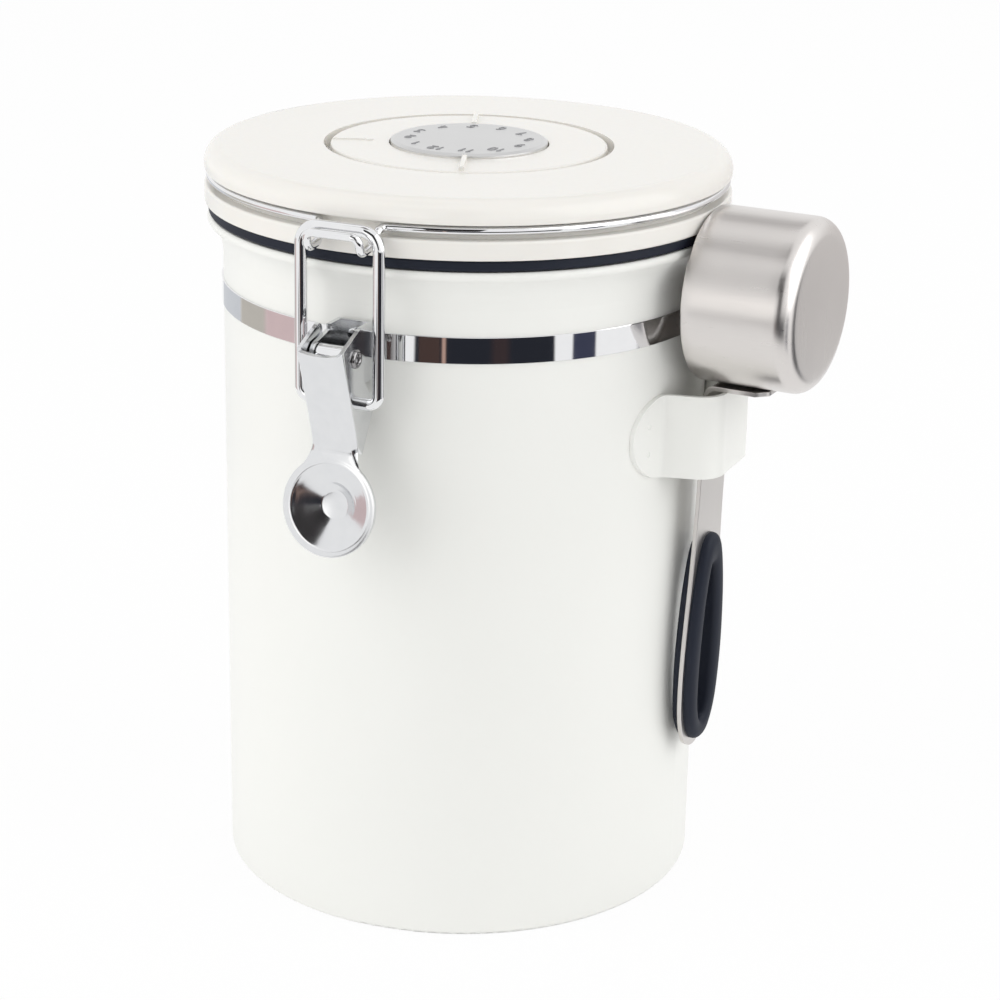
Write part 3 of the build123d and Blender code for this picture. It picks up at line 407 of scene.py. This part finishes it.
def leverPad(s, neckColumns):
    # pad: centre + r (sin(a) x + cos(a) upward) + height outward; the height is a rounded ridge, a cone
    # down to the dimple, the dimple's wall with a domed floor, and a step along one side of the cone
    lean, ridge, dimple = math.radians(s["padLean"]), s["padRadius"] - s["flange"], s["dimple"]
    upward = np.array([0, math.sin(lean), math.cos(lean)])
    outward = np.array([0, -math.cos(lean), math.sin(lean)])
    r = np.concatenate([np.linspace(s["padRadius"], ridge, 6), np.linspace(ridge, dimple, 30)[1:],
                        np.linspace(dimple, dimple - s["dimpleWall"], 8)[1:],
                        np.linspace(dimple - s["dimpleWall"], 0, 8)[1:]])
    fall, soft = np.clip((ridge - r) / (ridge - dimple), 0, 1), s["ridgeSoft"]
    fall = (np.sqrt(fall ** 2 + soft) - soft ** 0.5) / ((1 + soft) ** 0.5 - soft ** 0.5)
    wall = np.clip((dimple - r) / s["dimpleWall"], 0, 1)
    pit = (wall * (2 - wall) + np.clip(1 - (r / dimple) ** 2, 0, 1)) / 2
    height = (-s["sheet"] / 2 + s["rim"] * np.exp(-((r - ridge) / s["rimWidth"]) ** 2)
              - s["padDepth"] * fall - s["dimpleDepth"] * pit)
    spread = math.asin(s["neckSpread"] / s["padRadius"])
    turn = np.concatenate([np.linspace(spread, -spread, neckColumns),
                           np.linspace(-spread, spread - 2 * np.pi, 74)[1:-1]])
    spokes = np.sin(turn)[:, None] * np.array([1.0, 0, 0]) + np.cos(turn)[:, None] * upward
    step = (s["step"] * np.exp(-((r - s["stepRadius"]) / s["stepWidth"]) ** 2)[:, None]
            * np.clip(np.cos(turn - s["stepTurn"]), 0, 1) ** 2)
    return (np.array([0, *s["pad"]]) + r[:, None, None] * spokes
            + (height[:, None] + step)[:, :, None] * outward)


def leverGrids(s):
    # neck: pad rim + k (front's lower end - pad rim), drawn in sideways early so that its sides are
    # hollow; the bend is filled out on both sides by a parabola: fill (1 - distance / reach) squared
    shell, share, away = leverShell(s)
    across = share == 0
    pad = leverPad(s, across.sum())
    low, high = pad[0, :across.sum()], shell[-1, across]
    k = np.linspace(0, 1, 9)[:, None, None]
    ease = np.concatenate([1 - (1 - k) ** s["neckPull"], k, k], axis=2)
    span = np.linalg.norm(high - low, axis=1)[None, :, None]
    fill, (shellReach, neckReach) = np.array([0, -1, 0]) * s["bendFill"], s["bendReach"]
    neck = low + ease * (high - low) + fill * np.clip(1 - (1 - k) * span / neckReach, 0, 1) ** 2
    rise = np.clip(1 - away / shellReach, 0, 1) ** 2 * (1 - share)
    return [(shell + fill * rise[:, :, None], False), (neck, False), (pad, True)]


makePiece("lever_sheet", leverGrids(lever), "plated", "latch_lever", "latch_lever",
          sheet=lever["wall"], edge=lever["edge"], crease=50)


# hollow rivet of the lever, with a rolled head on each side
rivet = {"centre": (0, -69.7, 144.0), "bore": 1.0, "head": 2.1, "shank": 1.6, "cheek": 5.6, "gap": 0.02,
         "rise": 0.7}


def rivetProfile(s):
    # bore wall, head rolled over a half circle, shank, then the same mirrored
    roll, seat = (s["head"] - s["bore"]) / 2, s["cheek"] + s["gap"]
    end = s["cheek"] + s["rise"] - roll
    side = np.vstack([[(end, s["bore"])], arc((end, s["bore"] + roll), roll, -90, 90, 13),
                      [(seat, s["head"]), (seat, s["shank"])]])
    return np.vstack([side, side[::-1] * (-1, 1), side[:1]])


# its dark plating is painted shade standing in for the hollow's shadow and dark reflections
makePiece("hollow_rivet", [(lathe(rivetProfile(rivet), rivet["centre"], (1, 0, 0), (0, 0, 1), 64), True)],
          "rivetSteelPaintedShade", "latch_lever", "lever_rivet")


# wires: the latch's loop, and the bail with its hook, its ring and its two hinge legs
loop = {"radius": 1.4, "low": (-66.5, 133.0), "high": (-66.4, 171.65), "half": 9.5, "end": 3.9,
        "bends": (2.4, 4.2, 4.2, 2.4)}
bail = {
    "radius": 0.95, "ring": 60.9, "height": 171.65, "turn": 13.0, "hingeY": 67.0, "hingeZ": 163.0,
    "legHalf": 8.6, "pinHalf": 1.2, "legBend": 1.9, "hookBends": (1.6, 1.6, 1.6, 1.75, 1.75),
    "hook": [(7.6, -60.75, 171.65), (7.28, -62.75, 170.99), (6.3, -64.35, 167.71), (6.3, -68.85, 167.05),
             (6.3, -70.15, 170.99)],
}


def loopPath(s):
    # one flat ring of wire, open where its two ends turn in the cheeks
    side = [(-s["end"], *s["low"]), (-s["half"], *s["low"]), (-s["half"], *s["high"])]
    return filletPath(side + [(-x, y, z) for x, y, z in reversed(side)], s["bends"], 13)


def bailPath(s):
    # right leg, ring arc (R sin(a), R cos(a)), hook, then the left arc and leg as their mirror
    turn, level = math.radians(s["turn"]), s["height"]
    x, y = s["ring"] * math.sin(turn), s["ring"] * math.cos(turn)
    rearY = y + (x - s["legHalf"]) * math.tan(turn)
    leg = filletPath([(s["pinHalf"], s["hingeY"], s["hingeZ"]), (s["legHalf"], s["hingeY"], s["hingeZ"]),
                      (s["legHalf"], s["hingeY"], level), (s["legHalf"], rearY, level), (x, y, level)],
                     (s["legBend"],) * 3)
    angle = np.linspace(turn, np.pi - turn, 110)[1:-1]
    ring = np.stack([s["ring"] * np.sin(angle), s["ring"] * np.cos(angle), angle * 0 + level], 1)
    hookSide = [(x, -y, level), *s["hook"]]
    mirrored = [(-px, py, pz) for px, py, pz in reversed(hookSide)]
    hook = filletPath(hookSide + mirrored, s["hookBends"] + s["hookBends"][::-1], 11)
    return np.vstack([leg, ring, hook, (ring * (-1, 1, 1))[::-1], (leg * (-1, 1, 1))[::-1]])


makePiece("loop_wire", [(tube(loopPath(loop), loop["radius"]), True)], "chrome", "latch_loop",
          "latch_loop")
makePiece("bail_ring_wire", [(tube(bailPath(bail), bail["radius"], 20), True)], "chrome", "lid",
          "bail_wire")


# scoop: a spun cup with a rolled rim, a strip bent into its handle, and the thick rubber grip round the
# handle's hole; shares are (half width, height) as parts of the full ones
scoop = {
    "turn": -3.5, "lean": 1.8, "centre": (64.6, 0, 149.8), "handle": (64.6, 0, 128.95),
    "radius": 20.3, "wall": 0.8, "rim": -1.85, "bottom": 24.35, "edge": 4.0,
    "sheet": 0.55, "rise": 2.4, "ringHalf": 8.6, "ringLow": -90.9, "ringLength": 53.0,
    "footRise": 0.35, "footPower": 0.85, "domePower": 0.8,
    "holeHalf": 3.8, "holeLow": -85.7, "holeLength": 40.0, "liner": 0.8,
    "tab": 14.6, "chamfer": 2.6, "bendRadius": 2.0, "stripHalf": 7.1, "plateHalf": 9.5, "handleLength": 93.0,
    "handleSheet": 1.1, "handleEdge": 0.2,
    "plateShares": [(0.3, 0.008), (0.62, 0.034), (0.9, 0.102), (1.0, 0.197), (0.99, 0.286), (0.93, 0.381)],
    "blendShares": [(0.33, 0.5), (0.0, 0.68)],
    "ringShares": [(0.45, 0.03), (0.84, 0.15), (1.0, 0.36), (0.97, 0.56), (0.79, 0.78), (0.45, 0.96)],
    "holeShares": [(0.5, 0.03), (0.88, 0.14), (1.0, 0.32), (0.97, 0.52), (0.79, 0.76), (0.4, 0.96)],
}


def scoopAxes(s):
    # the scoop hangs turned by a about z: axis (cos(a), sin(a), 0) and across; its handle leans by b:
    # outward is cos(b) axis - sin(b) z, and upward is square to outward and across
    swing, lean = math.radians(s["turn"]), math.radians(s["lean"])
    axis = np.array([math.cos(swing), math.sin(swing), 0])
    across = np.array([-math.sin(swing), math.cos(swing), 0])
    outward = math.cos(lean) * axis - np.array([0, 0, math.sin(lean)])
    return axis, across, outward, np.cross(outward, across)


def ringCurve(shares, half, low, length):
    # closed curve through (half x, low + length y) for each share (x, y), and its mirror
    side = [(half * x, low + y * length) for x, y in shares]
    return closedCurve([(0, low), *side, (0, low + length), *[(-x, y) for x, y in reversed(side)]])


def holeCurve(s, grown=0):
    return ringCurve(s["holeShares"], s["holeHalf"] + grown, s["holeLow"] - grown, s["holeLength"] + grown * 2)


def cupProfile(s):
    # outside from the pole over the rounded edge to the rim, a half circle round the wall, back inside
    radius, wall, edge = s["radius"], s["wall"], s["edge"]
    corner = (s["bottom"] - edge, radius - edge)
    lip = (s["rim"] + wall / 2, radius - wall / 2)
    floor = np.linspace(0, radius - edge, 12)[:-1]
    outside = np.vstack([np.stack([floor * 0 + s["bottom"], floor], 1), arc(corner, edge, 0, 90, 13)])
    side = np.stack([np.linspace(corner[0], lip[0], 10)[1:-1], np.full(8, radius)], 1)
    inner = np.stack([side[::-1, 0], side[:, 1] - wall], 1)
    inside = np.vstack([arc(corner, edge - wall, 90, 0, 13),
                        np.stack([floor * 0 + s["bottom"] - wall, floor[::-1]], 1)])
    return np.vstack([outside, side, arc(lip, wall / 2, 90, 270, 9), inner, inside])


def gripGrid(s):
    # each station blends the hole's curve to the outer one by q; round the section the height h rises
    # as a flattened ellipse on each face of the plate, and the liner closes it through the hole
    outer, hole = ringCurve(s["ringShares"], s["ringHalf"], s["ringLow"], s["ringLength"]), holeCurve(s)
    grown = holeCurve(s, s["liner"])
    turn = np.linspace(0, np.pi, 19)
    foot = s["sheet"] + s["footRise"]
    q = 0.5 + 0.5 * np.sign(np.cos(turn)) * np.abs(np.cos(turn)) ** s["footPower"]
    h = foot + (s["sheet"] + s["rise"] - foot) * np.sin(turn) ** s["domePower"]
    q = np.concatenate([[1], q, q[::-1], [1]])[:, None, None]
    h = np.concatenate([[s["sheet"]], h, -h[::-1], [-s["sheet"]], [-s["sheet"], s["sheet"], s["sheet"]]])
    face = hole + q * (outer - hole)
    flat = np.concatenate([face, grown[None], grown[None], face[:1]])
    _, across, outward, upward = scoopAxes(s)
    return (np.array(s["handle"]) + flat[:, :, :1] * across + flat[:, :, 1:] * upward
            + h[:, None, None] * outward)


def handleGrids(s):
    # strip: path + a across, narrowed at the tab's end; plate: hole + q (outline - hole), where both
    # curves are read at one bearing from the hole's middle, and the outline meets the strip's end
    axis, across, _, upward = scoopAxes(s)
    root, half, length = np.array(s["handle"]), s["stripHalf"], s["handleLength"]
    side = [(s["plateHalf"] * x, (y - 1) * length) for x, y in s["plateShares"]]
    side += [(half + (s["plateHalf"] - half) * x, (y - 1) * length) for x, y in s["blendShares"]]
    join = side[-1][1]
    around = closedCurve([(0, -length), *side, (half, join / 2), (-half, join / 2),
                          *[(-x, y) for x, y in side[::-1]]])
    flank = around[:spanSteps * len(side) + 1]
    columns = np.linspace(half, -half, 11)
    joint = np.stack([columns, columns * 0 + join], 1)[1:-1]
    outline = np.vstack([flank, joint, (flank * (-1, 1))[:0:-1]])
    hole = holeCurve(s, s["liner"])
    middle = np.array([0, s["holeLow"] + s["holeLength"] / 2])
    bearing, holeBearing = (np.arctan2(*(line - middle).T) for line in (outline, hole))
    order = np.argsort(holeBearing)
    inner = np.stack([np.interp(bearing, holeBearing[order], hole[order, k], period=2 * np.pi)
                      for k in (0, 1)], 1)
    q = np.linspace(0, 1, 7)[:, None, None]
    flat = inner + q * (outline - inner)
    plate = root + flat[:, :, :1] * across + flat[:, :, 1:] * upward
    tab = np.concatenate([np.linspace(s["tab"], s["tab"] - s["chamfer"], 4), [s["tab"] / 2]])
    bend = filletPath([root + axis * s["tab"] / 2, root, root + upward * join], [s["bendRadius"]])
    path = np.vstack([root + tab[:-1, None] * axis, bend])
    width = np.concatenate([(half - s["chamfer"] + (s["tab"] - tab[:-1])) / half, np.ones(len(bend))])
    strip = path[:, None] + (width[:, None] * columns[None])[:, :, None] * across
    return [(strip, False), (plate, True)]


makePiece("handle_sheet", handleGrids(scoop), "stripSteel", "scoop", "scoop_handle",
          sheet=scoop["handleSheet"], edge=scoop["handleEdge"], crease=50)
makePiece("cup_shell", [(lathe(cupProfile(scoop), scoop["centre"], scoopAxes(scoop)[0], (0, 0, 1), 180), True)],
          "cupSteel", "scoop", "scoop_cup")
makePiece("grip_ring", [(gripGrid(scoop), True)], "rubber", "scoop", "scoop_grip")


# studio, in metres and in the camera's own frame, which stands turned about z from the canister's:
# lamps are name, place, width, power and whether metal mirrors them; cards are name, azimuth and
# elevation, distance, width and height, colour, and the share of a side over which it fades
studio = {
    "turn": 24.5, "distance": 0.62294, "height": 0.30734, "pan": 0.0143, "tilt": 0.3368, "roll": 0.0197,
    "lens": 96.42, "sensor": 36.0, "clip": 0.01, "floorSize": 6.0, "worldLevel": 0.56, "paperShow": 0.93,
    "lampAim": 0.09, "cardCentre": 0.14,
    "lamps": [("key", (-1.3, -0.6, 0.8), 1.85, 13.6, False), ("fill", (1.3, -0.5, 0.8), 1.7, 11.3, True),
              ("top", (0.0, 0.2, 1.6), 1.2, 1.6, False), ("back", (0.2, 1.3, 1.0), 1.0, 3.0, False)],
    "cards": [("front_card", (8, -14), 0.31, (0.345, 0.13), (0.022, 0.024, 0.032), 0.02),
              ("brown_card", (-15, -14), 0.305, (0.05, 0.13), (0.07, 0.045, 0.04), 0.1),
              ("tan_card", (-9, -14), 0.30, (0.011, 0.13), (0.50, 0.33, 0.27), 0.3),
              ("violet_card", (14, -14), 0.30, (0.05, 0.13), (0.045, 0.032, 0.034), 0.3),
              ("wedge_card", (50.5, -14), 0.31, (0.062, 0.13), (0.05, 0.055, 0.09), 0.08),
              ("cup_card", (93, -14), 0.28, (0.16, 0.13), (0.035, 0.037, 0.045), 0.15),
              ("rose_card", (-88, -14), 0.33, (0.14, 0.16), (0.69, 0.54, 0.54), 0.15),
              ("sand_card", (-109, -14), 0.34, (0.155, 0.17), (0.56, 0.53, 0.48), 0.10),
              ("sky_card", (-136, -14), 0.35, (0.21, 0.18), (0.66, 0.68, 0.71), 0.10),
              ("edge_card", (-36, -13), 0.42, (0.13, 0.06), (0.11, 0.10, 0.10), 0.3),
              ("glow_card", (-36, 6), 0.44, (0.13, 0.20), (1.5, 1.48, 1.45), 0.2),
              ("camera_card", (-6, 22), 1.0, (0.44, 1.04), (0.03, 0.027, 0.028), 0.05),
              ("upper_card", (-28, 37), 1.02, (0.42, 0.56), (0.03, 0.027, 0.028), 0.08),
              ("roof_card", (-60, 76), 1.1, (0.6, 0.6), (0.22, 0.21, 0.21), 0.3),
              ("rear_card", (180, 46), 1.1, (0.9, 0.5), (0.45, 0.44, 0.44), 0.3),
              ("back_card", (136, -8), 0.5, (0.5, 0.5), (0.70, 0.675, 0.665), 0.3)],
}


def turned(vector):
    # from the camera's frame to the canister's: (x cos(a) - y sin(a), x sin(a) + y cos(a), z)
    angle = math.radians(studio["turn"])
    x, y, z = vector
    return np.array([x * math.cos(angle) - y * math.sin(angle), x * math.sin(angle) + y * math.cos(angle), z])


def makeCamera():
    # the camera's axes: forward from pan and tilt, then right and up turned by the roll
    pan, tilt, roll = studio["pan"], studio["tilt"], studio["roll"]
    forward = np.array([math.sin(pan) * math.cos(tilt), math.cos(pan) * math.cos(tilt), -math.sin(tilt)])
    right = np.array([math.cos(pan), -math.sin(pan), 0.0])
    up = np.cross(right, forward)
    rolledRight = right * math.cos(roll) + up * math.sin(roll)
    rolledUp = up * math.cos(roll) - right * math.sin(roll)
    camera = addObject("camera", bpy.data.cameras.new("camera"))
    matrix = np.eye(4)
    for column, axis in enumerate((rolledRight, rolledUp, -forward)):
        matrix[:3, column] = turned(axis)
    matrix[:3, 3] = turned((0, -studio["distance"], studio["height"]))
    camera.matrix_world = Matrix(matrix.tolist())
    camera.data.sensor_width, camera.data.lens = studio["sensor"], studio["lens"]
    camera.data.clip_start = studio["clip"]
    bpy.context.scene.camera = camera


def seenRays(tree):
    # 1 for what the camera sees, straight or through metal and glass, and 0 for light on the object
    ray = tree.nodes.new("ShaderNodeLightPath")
    return sum(Socket(tree, ray.outputs[kind])
               for kind in ("Is Camera Ray", "Is Glossy Ray", "Is Transmission Ray"))


def glow(shade, colour):
    return shade.node("ShaderNodeEmission", {"Color": (*colour, 1), "Strength": 1.0})


def paperMaterial():
    # plain paper for the light, near white for the camera and for metal that mirrors it
    paper = Shader("paper")
    grain = paper.noise(paper.place, 3, 2.0)
    paper.finish({"Base Color": paper.mix(grain, *tone["paper"]), "Roughness": 0.9})
    plain = Socket(paper.tree, paper.surface.outputs[0])
    return paper.blend(seenRays(paper.tree) * studio["paperShow"], plain, glow(paper, (1, 1, 1)))


def cardMaterial(name, colour, soft):
    # cover = least of (0.5 - |u - 0.5|) / soft and 1, times the same of v: a card with faded edges
    shade = Shader(name)
    u, v, _ = shade.parts(shade.node("ShaderNodeUVMap", uv_map="spread"))
    cover = [t.maths("MINIMUM", (0.5 - abs(t - 0.5)) / soft, 1.0) for t in (u, v)]
    clear = shade.node("ShaderNodeBsdfTransparent", {"Color": (1, 1, 1, 1)})
    return shade.blend(cover[0] * cover[1], clear, glow(shade, colour))


def makeSheet(name, corners, material):
    mesh = bpy.data.meshes.new(name)
    mesh.from_pydata([tuple(corner) for corner in corners], [], [(0, 1, 2, 3)])
    mesh.uv_layers.new(name="spread").data.foreach_set("uv", (0, 0, 1, 0, 1, 1, 0, 1))
    mesh.materials.append(material)
    sheet = addObject(name, mesh)
    return sheet


def makeCard(name, aim, distance, size, colour, soft):
    # a card that only mirror rays see: middle + d (cos(e) sin(a), -cos(e) cos(a), sin(e)), faced inwards
    turn, rise = map(math.radians, aim)
    outward = np.array([math.cos(rise) * math.sin(turn), -math.cos(rise) * math.cos(turn), math.sin(rise)])
    side = np.array([math.cos(turn), math.sin(turn), 0]) * size[0] / 2
    up = np.cross(outward, side / np.linalg.norm(side)) * size[1] / 2
    middle = np.array([0, 0, studio["cardCentre"]]) + outward * distance
    corners = [middle - side - up, middle + side - up, middle + side + up, middle - side + up]
    card = makeSheet(name, map(turned, corners), cardMaterial(name, colour, soft))
    card.visible_camera = card.visible_diffuse = card.visible_shadow = card.visible_transmission = False


def makeLamp(name, spot, width, power, mirrored):
    # a square lamp that points at the middle of the canister
    lamp = bpy.data.lights.new(name, "AREA")
    lamp.shape, lamp.size, lamp.energy = "SQUARE", width, power
    holder = addObject(name, lamp)
    holder.location = turned(spot)
    holder.visible_glossy = mirrored
    aim = Vector(np.array([0, 0, studio["lampAim"]]) - turned(spot))
    holder.rotation_mode = "QUATERNION"
    holder.rotation_quaternion = aim.to_track_quat("-Z", "Y")


def makeWorld():
    # strength = level + seen (1 - level): plain light on the object, white where it is seen
    world = bpy.data.worlds.new("studio")
    bpy.context.scene.world = world
    world.use_nodes = True
    tree, level = world.node_tree, studio["worldLevel"]
    background = tree.nodes["Background"]
    background.inputs[0].default_value = (1, 1, 1, 1)
    setInput(tree, background.inputs[1], level + seenRays(tree) * (1 - level))


makeCamera()
reach = studio["floorSize"] / 2
makeSheet("floor", [(-reach, -reach, 0), (reach, -reach, 0), (reach, reach, 0), (-reach, reach, 0)],
          paperMaterial())
for card in studio["cards"]:
    makeCard(*card)
for lamp in studio["lamps"]:
    makeLamp(*lamp)
makeWorld()
bpy.context.scene.view_settings.view_transform = "Standard"
print("studio ready")
